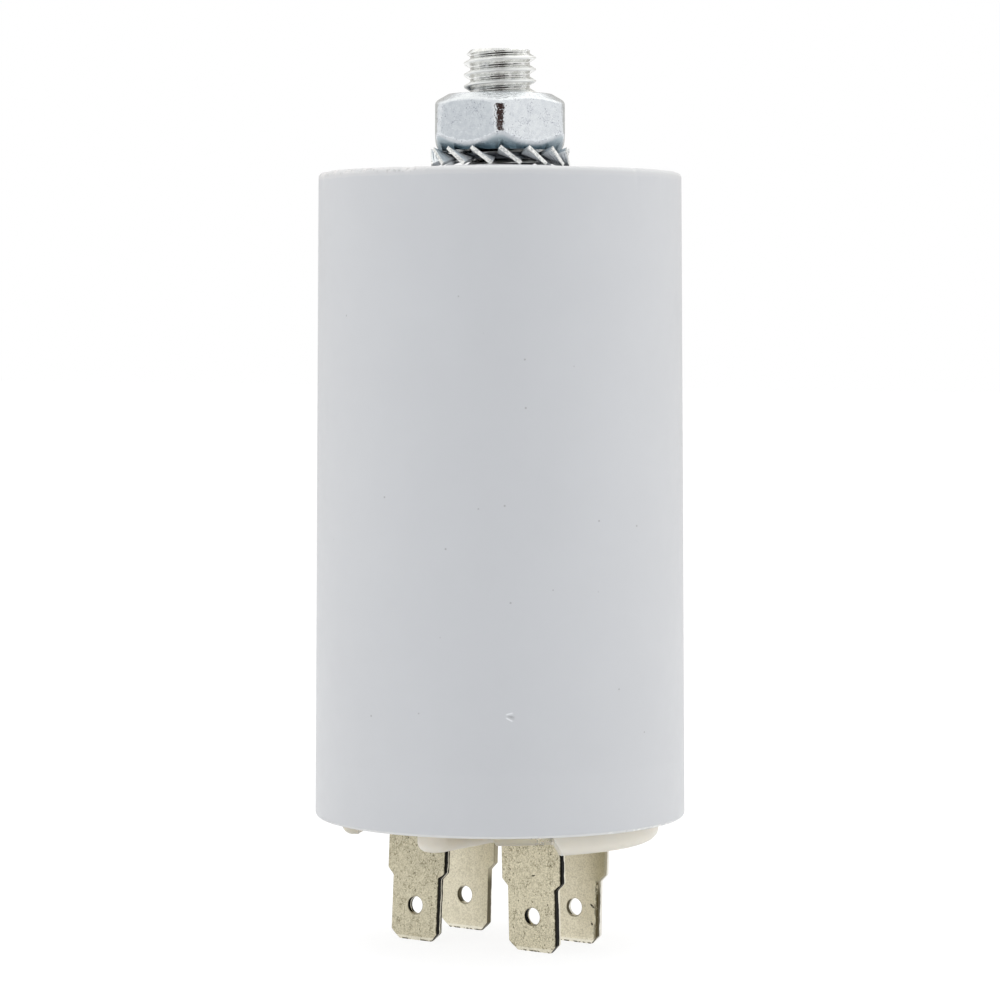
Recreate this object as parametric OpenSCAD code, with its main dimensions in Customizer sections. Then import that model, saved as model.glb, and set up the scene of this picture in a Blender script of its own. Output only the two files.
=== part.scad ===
// Motor-run capacitor: a moulded case with a threaded mounting stud at one end, and a lid with two
// double blade terminals in the mouth at the other end. Sizes are in millimetres.
// The origin is on the stud's axis at the case's end face, and +Z points along the stud.
// X runs along the width of the blade tabs, and Y along the barrier between the terminals.

/* [Case] */
// Height of the case from its end face to its mouth
case_height = 70; // [45:0.5:120]
// Outer diameter of the case at the end face
end_diameter = 39.4; // [36:0.1:48]
// Outer diameter of the case at the mouth, wider by the moulding draft
mouth_diameter = 40.4; // [38:0.1:50]
// Radius of the edge round the end face
end_edge_radius = 0.6; // [0.2:0.1:1.5]
// Radius of the outer edge round the mouth
mouth_edge_radius = 0.5; // [0.2:0.1:0.9]
// Thickness of the case wall at the mouth
mouth_wall = 2; // [1.2:0.1:3]
// Depth of the mouth, down to the face that the lid lies on
recess_depth = 6.6; // [4.5:0.1:10]
// Bevel on the inner edge of the mouth
mouth_bevel = 0.3; // [0.1:0.05:0.6]
// Height of the low seat round the stud
seat_height = 0.6; // [0.2:0.1:2]
// Width of the seat left showing outside the lock washer
seat_margin = 0.7; // [0.3:0.1:2]
// Bevel on the seat's edge
seat_bevel = 0.15; // [0.05:0.05:0.2]

/* [Stud] */
// Diameter over the thread crests
stud_diameter = 7.85; // [6:0.05:9]
// Pitch of the thread
thread_pitch = 1.25; // [0.75:0.25:1.5]
// Length of the stud above the end face
stud_reach = 13.3; // [12:0.1:25]
// Bevel at the end of the stud
stud_bevel = 0.72; // [0.3:0.02:1.2]
// Distance across the flats of the head inside the case
head_across_flats = 13; // [10:0.1:17]
// Thickness of the head
head_height = 3.5; // [2:0.1:6]
// Thickness of plastic between the end face and the head
head_cover = 1.5; // [0.8:0.1:4]

/* [Nut] */
// Distance across the flats
nut_across_flats = 14; // [12:0.1:17]
// Height of the nut
nut_height = 6.15; // [5:0.05:8]
// How far the six corners are rounded back
nut_corner_trim = 0.28; // [0.1:0.02:0.6]
// Width of the bevel between the flats and the top face
nut_top_inset = 1.3; // [0.4:0.05:1.6]
// Slope of the top bevel, in degrees
nut_top_slope = 30; // [20:1:45]
// Width of the bevel between the flats and the face on the washer
nut_seat_inset = 0.45; // [0.2:0.05:1]
// Slope of the bevel on the washer's side, in degrees
nut_seat_slope = 50; // [40:1:55]
// How far the countersinks of the bore reach outside the thread crests
nut_countersink = 0.2; // [0.05:0.05:0.5]
// Slope of the countersinks, in degrees
nut_countersink_slope = 30; // [20:1:45]
// Radial gap between the mating threads
thread_clearance = 0.03; // [0.01:0.01:0.1]
// Angle at which the nut stands on the thread, from +X to a corner, in degrees
nut_turn = 6; // [-30:1:30]

/* [Lock washer] */
// Diameter over the tooth tips
washer_diameter = 15; // [14:0.1:18]
// Width of the flat inner ring
washer_ring_width = 1.4; // [0.8:0.1:1.8]
// Thickness of the inner ring
washer_thickness = 0.55; // [0.4:0.05:0.8]
// Thickness of a tooth, which the twisting dies squeeze a little thinner than the ring
tooth_thickness = 0.4; // [0.3:0.05:0.5]
// Number of teeth
tooth_count = 15; // [12:1:18]
// Width of the slit between neighbouring teeth in the flat blank
tooth_slit = 0.22; // [0.1:0.02:0.5]
// Twist of a tooth from its root to its tip, in degrees
tooth_twist = 38; // [15:1:45]
// Radial gap between the washer's bore and the stud
washer_clearance = 0.275; // [0.1:0.025:0.6]
// Angle at which the washer lies on the stud, from +X to the middle of a tooth, in degrees
washer_turn = 2.5; // [-15:0.5:15]

/* [Lid] */
// Thickness of the lid's disc
lid_thickness = 2.5; // [1.5:0.1:4]
// Radial gap between the lid and the mouth
lid_clearance = 0.05; // [0.02:0.01:0.2]
// Bevel on the lid's rim
lid_bevel = 0.4; // [0.1:0.1:1]
// Thickness of the barrier between the terminals
barrier_width = 3.8; // [2.6:0.1:5]
// Gap between each end of the barrier and the case wall
barrier_end_gap = 4.5; // [1:0.1:8]
// How far the barrier stands out of the mouth
barrier_reach = 2.8; // [0.5:0.1:6]
// Thickness of the guard walls
guard_wall = 1.7; // [1.2:0.1:2.2]
// Gap between the guard walls and the case wall
guard_gap = 0.85; // [0.3:0.05:1.5]
// How far the guard walls stand out of the mouth
guard_reach = 2.45; // [0.5:0.05:5]
// Half of the angle that a guard wall spans, in degrees
guard_half_angle = 36; // [20:1:42]
// Width of the slanted corner at each end of a guard wall
guard_corner = 1.5; // [0.5:0.1:3]
// Thickness of the low wing beside a guard wall
wing_wall = 0.8; // [0.6:0.1:1.1]
// How far the wing's inner face lies behind the guard wall's inner face
wing_inset = 0.3; // [0.1:0.05:0.5]
// How far the low wing stands out of the mouth
wing_reach = 1.2; // [0.2:0.1:4]
// Angle that the low wing spans, in degrees
wing_angle = 22; // [8:1:30]
// Width of the slanted corner at the wing's end
wing_corner = 0.8; // [0.2:0.1:1.5]
// Radius of the barrier's and the guard walls' free edges
wall_edge_radius = 1.1; // [0.3:0.1:1.15]

/* [Terminals] */
// Width of a blade tab
tab_width = 6.3; // [4.8:0.1:6.9]
// Thickness of the terminal's strip
tab_thickness = 0.8; // [0.5:0.1:1.2]
// Length of a blade from its tip to the shoulders
tab_length = 6.9; // [5:0.1:9]
// Width of the strip above the shoulders
shoulder_width = 7.9; // [7:0.1:9]
// Height of the slanted shoulders
shoulder_height = 0.8; // [0.3:0.1:1.5]
// How far the tips stand out of the mouth
tab_reach = 13.9; // [11:0.1:20]
// Bevel at the two corners of a blade's tip
tip_corner = 0.95; // [0.3:0.05:1.5]
// Length of the lead-in bevels on a blade's faces
lead_in_length = 0.7; // [0.3:0.05:1.2]
// Depth of each lead-in bevel
lead_in_depth = 0.2; // [0.05:0.05:0.22]
// Diameter of the latch hole in a blade
latch_hole_diameter = 1.9; // [1.2:0.1:2.4]
// Distance of the latch hole's centre from the tip
latch_hole_distance = 3.85; // [2.5:0.05:4.4]
// Distance between the centres of the two terminals
terminal_spacing = 14.9; // [13.5:0.1:18]
// Distance between the two blades of a terminal
blade_spacing = 8.8; // [8:0.1:12]
// Inner radius of the strip's folds
fold_radius = 0.8; // [0.3:0.1:1.2]
// Outward lean of the left terminal's front leg, bent in handling, in degrees
left_front_lean = 3.5; // [-4:0.5:5]
// Outward lean of the left terminal's back leg, in degrees
left_back_lean = -2; // [-4:0.5:5]
// Outward lean of the right terminal's front leg, in degrees
right_front_lean = -2; // [-4:0.5:5]
// Outward lean of the right terminal's back leg, in degrees
right_back_lean = -2; // [-4:0.5:5]

/* [Rivets] */
// Diameter of the rivet's shank
rivet_diameter = 3; // [2:0.1:3.6]
// Diameter of the rivet's head on the terminal
rivet_head_diameter = 4.8; // [4:0.1:5.4]
// Height of the rivet's domed head
rivet_head_height = 0.9; // [0.5:0.1:1.5]
// Diameter of the rivet's foot inside the lid
rivet_foot_diameter = 4.4; // [4:0.1:5.4]
// Thickness of the rivet's foot
rivet_foot_height = 0.6; // [0.3:0.1:1]

/* [Hidden] */
$fn = 128;
HEXAGON = 6;
OVERCUT = 1;
SQUARE_CORNER = 90;
HALF_TURN = 180;

// Levels along the axis
mouth_level = -case_height;
lid_inner_level = mouth_level + recess_depth;
lid_outer_level = lid_inner_level - lid_thickness;
lid_middle_level = (lid_inner_level + lid_outer_level) / 2;
barrier_level = mouth_level - barrier_reach;
guard_level = mouth_level - guard_reach;
wing_level = mouth_level - wing_reach;
tip_level = mouth_level - tab_reach;
head_top_level = -head_cover;
head_bottom_level = head_top_level - head_height;
head_middle_level = (head_top_level + head_bottom_level) / 2;

// Radii of the case's mouth and of what stands in it
mouth_radius = mouth_diameter / 2;
end_radius = end_diameter / 2;
mouth_bore_radius = mouth_radius - mouth_wall;
lid_radius = mouth_bore_radius - lid_clearance;
guard_radius = mouth_bore_radius - guard_gap;
guard_inner_radius = guard_radius - guard_wall;
wing_inner_radius = guard_inner_radius + wing_inset;
barrier_length = 2 * (mouth_bore_radius - barrier_end_gap);

// The draft of the case's side, as a growth of radius for each unit of height
draft = (mouth_radius - end_radius) / case_height;
draft_slant = sqrt(1 + draft * draft);

// Metric threads: the pitch diameter lies this many pitches inside the crests
pitch_diameter_drop = 0.6495;
stud_radius = stud_diameter / 2;
engaged_radius = (stud_diameter - pitch_diameter_drop * thread_pitch) / 2;

// The lock washer's blank: a ring, and teeth that start inside the ring
TOOTH_SLICES = 8;
TOOTH_SIDES = 4;
washer_bore_radius = stud_radius + washer_clearance;
tooth_root_radius = washer_bore_radius + washer_ring_width / 2;
tooth_tip_radius = washer_diameter / 2;
tooth_run = tooth_tip_radius - tooth_root_radius;
seat_radius = tooth_tip_radius + seat_margin;

// Width, twist and half height of a tooth at a distance from the axis
function tooth_width(radius) = 2 * radius * sin(HALF_TURN / tooth_count) - tooth_slit;
function tooth_turn(radius) = tooth_twist * (radius - tooth_root_radius) / tooth_run;
function tooth_half_height(radius) =
    tooth_width(radius) / 2 * sin(tooth_turn(radius)) + tooth_thickness / 2 * cos(tooth_turn(radius));

// The four corners of a tooth's section at a distance from the axis, turned so that its +Y edge dips
function tooth_corners(radius) =
    let (
        across = tooth_width(radius) / 2,
        along = tooth_thickness / 2,
        turn = -tooth_turn(radius)
    )
    [
        for (corner = [[-across, -along], [across, -along], [across, along], [-across, along]])
            [
                radius,
                corner.x * cos(turn) - corner.y * sin(turn),
                corner.x * sin(turn) + corner.y * cos(turn)
            ]
    ];

// The washer stands on its tooth tips, and the nut's bearing face lies on the teeth
washer_level = seat_height + tooth_half_height(tooth_tip_radius);
nut_seat_radius = nut_across_flats / 2 - nut_seat_inset;
nut_top_radius = nut_across_flats / 2 - nut_top_inset;
nut_corner_radius = nut_across_flats / 2 / cos(HALF_TURN / HEXAGON) - nut_corner_trim;
nut_bottom_level = washer_level + tooth_half_height(min(nut_seat_radius, tooth_tip_radius));
nut_top_level = nut_bottom_level + nut_height;
nut_bore_radius = engaged_radius + thread_clearance;
nut_mouth_radius = stud_radius + nut_countersink;

// The terminals lie on the lid's outer face, and each leg hangs from the centre line of its fold
fold_level = lid_outer_level - tab_thickness - fold_radius;
fold_offset = (blade_spacing - tab_thickness) / 2 - fold_radius;
blade_middle = fold_radius + tab_thickness / 2;

// Length of a leg from its fold to its tip, such that all tips end at one level
function leg_length(lean) = (fold_level - tip_level + blade_middle * sin(lean)) / cos(lean);

// Shared shapes

// Hexagonal prism standing on z = 0, with a corner on +X
module hex_prism(across_flats, height) {
    cylinder(r = across_flats / 2 / cos(HALF_TURN / HEXAGON), h = height, $fn = HEXAGON);
}

// Corner left over outside a quarter circle, with the sharp corner at the origin
module corner_waste(radius) {
    difference() {
        translate([-radius, 0])
            square(radius);
        translate([-radius, radius])
            circle(r = radius);
    }
}

// Wall section that hangs from the lid's middle down to a level, with its outer free edge rounded
module wall_section(outer, inner, level, edge_radius) {
    difference() {
        translate([inner, level])
            square([outer - inner, lid_middle_level - level]);
        translate([outer, level])
            corner_waste(edge_radius);
    }
}

// The stud's head, which also shapes its pocket in the case
module stud_head() {
    translate([0, 0, head_bottom_level])
        hex_prism(head_across_flats, head_height);
}

// Places its children at both terminals' centres, the second one turned half round
module at_terminals() {
    for (turn = [0, HALF_TURN])
        rotate(turn)
            translate([terminal_spacing / 2, 0, 0])
                children();
}

// Case

// Waste outside the rounded edge where the drafted side meets the end face
module end_edge_waste() {
    centre_x = end_radius + draft * end_edge_radius - end_edge_radius * draft_slant;
    touch = [centre_x + end_edge_radius / draft_slant, -end_edge_radius + end_edge_radius * draft / draft_slant];
    difference() {
        polygon([[centre_x, 0], [end_radius, 0], touch, [centre_x, -end_edge_radius]]);
        translate([centre_x, -end_edge_radius])
            circle(r = end_edge_radius);
    }
}

// Waste outside the rounded edge where the drafted side meets the mouth
module mouth_edge_waste() {
    centre_x = mouth_radius - draft * mouth_edge_radius - mouth_edge_radius * draft_slant;
    centre_y = mouth_level + mouth_edge_radius;
    touch = [centre_x + mouth_edge_radius / draft_slant, centre_y + mouth_edge_radius * draft / draft_slant];
    difference() {
        polygon([[centre_x, mouth_level], [mouth_radius, mouth_level], touch, [centre_x, centre_y]]);
        translate([centre_x, centre_y])
            circle(r = mouth_edge_radius);
    }
}

module case_section() {
    difference() {
        polygon([
            [0, seat_height],
            [seat_radius - seat_bevel, seat_height],
            [seat_radius, seat_height - seat_bevel],
            [seat_radius, 0],
            [end_radius, 0],
            [mouth_radius, mouth_level],
            [mouth_bore_radius + mouth_bevel, mouth_level],
            [mouth_bore_radius, mouth_level + mouth_bevel],
            [mouth_bore_radius, lid_inner_level],
            [0, lid_inner_level]
        ]);
        end_edge_waste();
        mouth_edge_waste();
    }
}

module case() {
    color("lightgray")
        difference() {
            rotate_extrude()
                case_section();
            stud_head();
            translate([0, 0, head_middle_level])
                cylinder(r = stud_radius, h = seat_height + OVERCUT - head_middle_level);
        }
}

// Lid

// Straight wall with round ends
module barrier() {
    straight = barrier_length - barrier_width;
    rotate([SQUARE_CORNER, 0, 0])
        linear_extrude(straight, center = true)
            difference() {
                wall_section(barrier_width / 2, -barrier_width / 2, barrier_level, wall_edge_radius);
                mirror([1, 0])
                    translate([barrier_width / 2, barrier_level])
                        corner_waste(wall_edge_radius);
            }
    for (turn = [0, HALF_TURN])
        rotate(turn)
            translate([0, straight / 2, 0])
                rotate_extrude(angle = HALF_TURN)
                    wall_section(barrier_width / 2, 0, barrier_level, wall_edge_radius);
}

// Cutter for the slanted corner at the start of a curved wall that stands out of the mouth by a reach
module corner_cut(corner, reach) {
    spread = OVERCUT * corner / reach;
    rotate([SQUARE_CORNER, 0, SQUARE_CORNER])
        linear_extrude(guard_radius + OVERCUT)
            polygon([
                [-spread, mouth_level + OVERCUT],
                [-spread, mouth_level - reach - OVERCUT],
                [corner + spread, mouth_level - reach - OVERCUT]
            ]);
}

// Curved wall outside a terminal, with a low thin wing on one side
module guard() {
    difference() {
        rotate(-guard_half_angle)
            rotate_extrude(angle = 2 * guard_half_angle)
                wall_section(guard_radius, guard_inner_radius, guard_level, wall_edge_radius);
        for (end = [0, 1])
            mirror([0, end, 0])
                rotate(-guard_half_angle)
                    corner_cut(guard_corner, guard_reach);
    }
    rotate(-guard_half_angle - wing_angle)
        difference() {
            rotate_extrude(angle = wing_angle + guard_half_angle)
                wall_section(wing_inner_radius + wing_wall, wing_inner_radius, wing_level, wing_wall / 2);
            corner_cut(wing_corner, wing_reach);
        }
}

module lid() {
    color("cornsilk")
        difference() {
            union() {
                rotate_extrude()
                    polygon([
                        [0, lid_inner_level],
                        [lid_radius, lid_inner_level],
                        [lid_radius, lid_outer_level + lid_bevel],
                        [lid_radius - lid_bevel, lid_outer_level],
                        [0, lid_outer_level]
                    ]);
                barrier();
                for (turn = [0, HALF_TURN])
                    rotate(turn)
                        guard();
            }
            at_terminals()
                rivet_shank();
        }
}

// Terminals

// Outline of a leg seen on its face, from its fold at y = 0 to its tip
module leg_outline(length) {
    shoulder_end = tab_length - length;
    right_side = [
        [shoulder_width / 2, 0],
        [shoulder_width / 2, shoulder_end + shoulder_height],
        [tab_width / 2, shoulder_end],
        [tab_width / 2, tip_corner - length],
        [tab_width / 2 - tip_corner, -length]
    ];
    left_side = [for (index = [len(right_side) - 1 : -1 : 0]) [-right_side[index].x, right_side[index].y]];
    difference() {
        polygon(concat(right_side, left_side));
        translate([0, latch_hole_distance - length])
            circle(d = latch_hole_diameter);
    }
}

// Waste outside the two lead-in bevels at a leg's tip
module lead_in_waste(length) {
    rotate([SQUARE_CORNER, 0, SQUARE_CORNER])
        linear_extrude(shoulder_width, center = true)
            for (face = [0, 1])
                mirror([face, 0])
                    translate([tab_thickness / 2, -length])
                        polygon([[0, 0], [-lead_in_depth, 0], [0, lead_in_length]]);
}

// Leg on the +Y side, with the centre line of its fold on the x axis
module leg(lean) {
    length = leg_length(lean);
    rotate([SQUARE_CORNER, 0, SQUARE_CORNER])
        rotate(lean)
            rotate_extrude(angle = SQUARE_CORNER - lean)
                translate([fold_radius, -shoulder_width / 2])
                    square([tab_thickness, shoulder_width]);
    rotate([lean, 0, 0])
        translate([0, blade_middle, 0])
            difference() {
                rotate([SQUARE_CORNER, 0, 0])
                    linear_extrude(tab_thickness, center = true)
                        leg_outline(length);
                lead_in_waste(length);
            }
}

// Strip folded into two legs: a web on the lid between a front and a back leg
module terminal(front_lean, back_lean) {
    difference() {
        union() {
            translate([-shoulder_width / 2, -fold_offset, lid_outer_level - tab_thickness])
                cube([shoulder_width, 2 * fold_offset, tab_thickness]);
            translate([0, fold_offset, fold_level])
                leg(back_lean);
            translate([0, -fold_offset, fold_level])
                mirror([0, 1, 0])
                    leg(front_lean);
        }
        rivet_shank();
    }
}

module terminal_left() {
    color("tan")
        translate([-terminal_spacing / 2, 0, 0])
            terminal(left_front_lean, left_back_lean);
}

module terminal_right() {
    color("tan")
        translate([terminal_spacing / 2, 0, 0])
            terminal(right_front_lean, right_back_lean);
}

// Rivets

// The rivet below its head: a shank through the terminal and the lid, and a foot sunk in the lid
module rivet_shank() {
    translate([0, 0, lid_outer_level - tab_thickness])
        cylinder(d = rivet_diameter, h = lid_thickness + tab_thickness);
    translate([0, 0, lid_inner_level - rivet_foot_height])
        cylinder(d = rivet_foot_diameter, h = rivet_foot_height);
}

// Domed head below z = 0
module rivet_head() {
    head_radius = rivet_head_diameter / 2;
    dome_radius = (head_radius * head_radius + rivet_head_height * rivet_head_height) / (2 * rivet_head_height);
    rotate_extrude()
        intersection() {
            translate([0, dome_radius - rivet_head_height])
                circle(r = dome_radius);
            translate([0, -rivet_head_height])
                square([head_radius, rivet_head_height]);
        }
}

module rivets() {
    color("silver")
        at_terminals() {
            rivet_shank();
            translate([0, 0, lid_outer_level - tab_thickness])
                rivet_head();
        }
}

// Stud: the stretch inside the nut is drawn at the pitch diameter, where the two threads interleave

module stud() {
    color("silver") {
        stud_head();
        rotate_extrude()
            polygon([
                [0, head_middle_level],
                [stud_radius, head_middle_level],
                [stud_radius, nut_bottom_level],
                [engaged_radius, nut_bottom_level],
                [engaged_radius, nut_top_level],
                [stud_radius, nut_top_level],
                [stud_radius, stud_reach - stud_bevel],
                [stud_radius - stud_bevel, stud_reach],
                [0, stud_reach]
            ]);
    }
}

// Lock washer

// Tooth along +X, twisted progressively from its root inside the ring to its tip
module tooth() {
    last = TOOTH_SLICES * TOOTH_SIDES;
    corners = [
        for (slice = [0 : TOOTH_SLICES])
            each tooth_corners(tooth_root_radius + tooth_run * slice / TOOTH_SLICES)
    ];
    sides = [
        for (start = [0 : TOOTH_SIDES : last - 1], side = [0 : TOOTH_SIDES - 1])
            let (
                near = start + side,
                near_next = start + (side + 1) % TOOTH_SIDES,
                far = near + TOOTH_SIDES,
                far_next = near_next + TOOTH_SIDES
            )
            each [[near, far, far_next], [near, far_next, near_next]]
    ];
    root_end = [for (side = [0 : TOOTH_SIDES - 1]) side];
    tip_end = [for (side = [TOOTH_SIDES - 1 : -1 : 0]) last + side];
    polyhedron(corners, concat(sides, [root_end, tip_end]));
}

module lock_washer() {
    color("gainsboro")
        translate([0, 0, washer_level])
            rotate(washer_turn) {
                rotate_extrude()
                    translate([washer_bore_radius, -washer_thickness / 2])
                        square([washer_ring_width, washer_thickness]);
                for (index = [0 : tooth_count - 1])
                    rotate(index * 2 * HALF_TURN / tooth_count)
                        tooth();
            }
}

// Nut

// Round blank with both bevels, which trims the hexagon's corners
module nut_blank_section() {
    top_drop = (nut_corner_radius - nut_top_radius) * tan(nut_top_slope);
    seat_rise = (nut_corner_radius - nut_seat_radius) * tan(nut_seat_slope);
    countersink_depth = (nut_mouth_radius - nut_bore_radius) * tan(nut_countersink_slope);
    polygon([
        [nut_bore_radius, nut_bottom_level + countersink_depth],
        [nut_mouth_radius, nut_bottom_level],
        [nut_seat_radius, nut_bottom_level],
        [nut_corner_radius, nut_bottom_level + seat_rise],
        [nut_corner_radius, nut_top_level - top_drop],
        [nut_top_radius, nut_top_level],
        [nut_mouth_radius, nut_top_level],
        [nut_bore_radius, nut_top_level - countersink_depth]
    ]);
}

module nut() {
    color("gainsboro")
        intersection() {
            rotate_extrude()
                nut_blank_section();
            translate([0, 0, nut_bottom_level])
                rotate(nut_turn)
                    hex_prism(nut_across_flats, nut_height);
        }
}

case();
lid();
terminal_left();
terminal_right();
rivets();
stud();
lock_washer();
nut();
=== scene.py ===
"""Studio scene of a motor-run capacitor: the finish of its parts, the stud's thread and the case's wear."""

import math

import bmesh
import bpy
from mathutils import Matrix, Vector, noise


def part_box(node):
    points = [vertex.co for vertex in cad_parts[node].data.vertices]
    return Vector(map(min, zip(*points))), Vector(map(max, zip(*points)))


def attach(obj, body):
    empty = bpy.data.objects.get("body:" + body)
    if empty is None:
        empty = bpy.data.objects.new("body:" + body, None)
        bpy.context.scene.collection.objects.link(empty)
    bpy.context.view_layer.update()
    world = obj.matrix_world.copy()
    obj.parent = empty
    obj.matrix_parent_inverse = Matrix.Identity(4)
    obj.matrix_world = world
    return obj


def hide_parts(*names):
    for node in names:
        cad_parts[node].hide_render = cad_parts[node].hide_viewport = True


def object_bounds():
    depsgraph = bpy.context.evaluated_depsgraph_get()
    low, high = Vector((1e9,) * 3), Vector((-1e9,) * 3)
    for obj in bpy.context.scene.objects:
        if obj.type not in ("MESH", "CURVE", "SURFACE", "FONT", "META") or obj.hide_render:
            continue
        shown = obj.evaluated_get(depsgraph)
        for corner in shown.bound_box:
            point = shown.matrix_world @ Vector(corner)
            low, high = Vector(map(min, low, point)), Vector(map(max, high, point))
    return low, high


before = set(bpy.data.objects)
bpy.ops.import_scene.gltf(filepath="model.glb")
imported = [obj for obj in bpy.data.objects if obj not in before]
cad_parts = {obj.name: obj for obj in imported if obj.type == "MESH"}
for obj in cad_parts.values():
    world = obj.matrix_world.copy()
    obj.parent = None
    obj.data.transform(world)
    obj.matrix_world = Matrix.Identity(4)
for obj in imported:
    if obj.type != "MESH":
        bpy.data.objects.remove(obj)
cad_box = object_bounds()

# Units, and the factors that leave out the Z of a place
MM = 0.001
TURN = 2 * math.pi
LEVEL_AXES = (1, 1, 0)

# Camera at the photograph's viewing angle. Its distance and level are from the middle of the end face
VIEW_AZIMUTH = math.radians(36)
CAMERA_DISTANCE = 395 * MM
CAMERA_LEVEL = -16.8 * MM
CAMERA_PITCH = math.radians(2.72)
CAMERA_LENS = 130.4
CAMERA_SENSOR = 36
CAMERA_NEAR = 10 * MM

TOWARD_CAMERA = Vector((math.sin(VIEW_AZIMUTH), -math.cos(VIEW_AZIMUTH), 0))
ACROSS_VIEW = Vector((math.cos(VIEW_AZIMUTH), math.sin(VIEW_AZIMUTH), 0))
VIEW_ANGLE = math.atan2(TOWARD_CAMERA.y, TOWARD_CAMERA.x)

# Case, on the section of its CAD solid
CASE_LOW, CASE_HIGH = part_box("case")
LID_INNER_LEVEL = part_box("lid")[1].z
MOUTH_LEVEL = CASE_LOW.z
SEAT_LEVEL = CASE_HIGH.z
MOUTH_RADIUS = CASE_HIGH.x
END_RADIUS = 19.7 * MM
END_EDGE = 0.6 * MM
MOUTH_EDGE = 0.5 * MM
MOUTH_WALL = 2 * MM
MOUTH_BEVEL = 0.3 * MM
SEAT_RADIUS = 8.2 * MM
SEAT_BEVEL = 0.15 * MM
CASE_COLUMNS = 600
CASE_SIDE_ROWS = 36
EDGE_ROWS = 8
END_FACE_ROWS = 8

# Stud, on the section of its CAD solid. The thread's rows start some turns below the head's top
STUD_LOW, STUD_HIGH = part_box("stud")
HEAD_HEIGHT = 3.5 * MM
HEAD_TOP = STUD_LOW.z + HEAD_HEIGHT
HEAD_ACROSS_FLATS = STUD_HIGH.y - STUD_LOW.y
HEXAGON = 6
STUD_RADIUS = 3.925 * MM
STUD_BEVEL = 0.72 * MM
THREAD_PITCH = 1.25 * MM
THREAD_ROOT_RADIUS = 3.233 * MM
THREAD_CREST_SHARE = 1 / 8
THREAD_ROOT_SHARE = 0.236
THREAD_ROUNDING = 0.03
THREAD_CREST_LEVEL = 10.6 * MM
THREAD_ROWS = 24
THREAD_START_TURNS = 1.5
THREAD_SPARE_TURNS = 2
STUD_COLUMNS = 120

# Nut, on the section of its CAD solid, with the rounding of its corners at the seat and at the top
NUT_LOW, NUT_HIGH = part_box("nut")
NUT_ACROSS_FLATS = 14 * MM
NUT_TURN = math.radians(6)
NUT_TOP_RADIUS = 5.7 * MM
NUT_TOP_SLOPE = math.radians(30)
NUT_SEAT_RADIUS = 6.55 * MM
NUT_SEAT_SLOPE = math.radians(50)
NUT_MOUTH_RADIUS = 4.125 * MM
NUT_MOUTH_SLOPE = math.radians(30)
NUT_BORE_RADIUS = 3.549 * MM
NUT_CORNER_ROUNDING = (1.1 * MM, 3.2 * MM)
NUT_EDGE_ROUNDING = 0.45 * MM
NUT_EDGE_MARGIN = 0.1 * MM
NUT_COLUMNS = 480
NUT_SIDE_ROWS = 96

# Wear of the case's top edge: each chip has an angle from the view, a width and a depth
RIM_WEAR_REACH = 0.9 * MM
RIM_FINE_WEAR = 0.035 * MM
RIM_BROAD_WEAR = 0.06 * MM
RIM_FINE_SIZE = 0.45 * MM
RIM_BROAD_SIZE = 2.4 * MM
RIM_CHIPS = (
    (math.radians(-76), 0.9 * MM, 0.16 * MM),
    (math.radians(-30), 0.7 * MM, 0.14 * MM),
    (math.radians(47), 0.35 * MM, 0.12 * MM),
)

# Nick in the case's side: angle from the view, level, size and depth, then its form in shares of its size
NICK_ANGLE = math.radians(3.3)
NICK_LEVEL = -57.2 * MM
NICK_SIZE = 0.5 * MM
NICK_DEPTH = 0.07 * MM
NICK_REACH = 1.5
NICK_START = -0.9
NICK_SPREAD = 0.45
NICK_RIDGE_WIDTH = 0.16
NICK_RIDGE_SHARE = 0.8
NICK_HOLLOW_PLACE = 0.2
NICK_HOLLOW_SIZES = (0.5, 0.3)
NICK_COLUMNS = 28
NICK_ROWS = 24

# Nick's pale streaks and the ends of its painted shade, between points (across the view, level)
NICK_STREAKS = (
    ((0.65 * MM, -56.95 * MM), (1.3 * MM, -56.8 * MM)),
    ((0.65 * MM, -57.3 * MM), (1.3 * MM, -57.65 * MM)),
)
NICK_SHADE_ENDS = ((0.9 * MM, -57.15 * MM), (1.4 * MM, -57.3 * MM))
NICK_STREAK_WIDTH = 0.14 * MM

# Blades, on the sections of their CAD solids. The reach is from a terminal's middle to a blade at its fold
BLADE_TIP_LEVEL = cad_box[0][2]
BLADE_SHOULDER_LEVEL = BLADE_TIP_LEVEL + 6.9 * MM
BLADE_SHOULDER_HEIGHT = 0.8 * MM
BLADE_SHOULDER_HALF_WIDTH = 3.95 * MM
BLADE_FOLD_LEVEL = -67.5 * MM
BLADE_FOLD_REACH = 4.4 * MM
BLADE_LEAN = math.radians(-2)
BENT_BLADE_LEAN = math.radians(3.5)
BLADE_THICKNESS = 0.8 * MM
BLADE_HALF_WIDTH = 3.15 * MM
BLADE_MIDDLE = 7.45 * MM
LATCH_HOLE_LEVEL = BLADE_TIP_LEVEL + 3.85 * MM
LATCH_HOLE_RADIUS = 0.95 * MM

# Zones of the blades: from back to front or from right to left ones, and from plain to crinkled tin
BLADE_ZONE = (2 * MM, -2 * MM)
CRINKLE_LEVELS = (-78 * MM, -73.5 * MM)

# Sheared edges, in shares of the blade's thickness: where the polish starts on right and left blades,
# and the middle of the second tear of the bent blade
BACK_POLISH_STARTS = (0.48, 0.85)
FRONT_POLISH_STARTS = (0.66, 0.50)
SECOND_TEAR_DEPTH = 0.79

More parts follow.
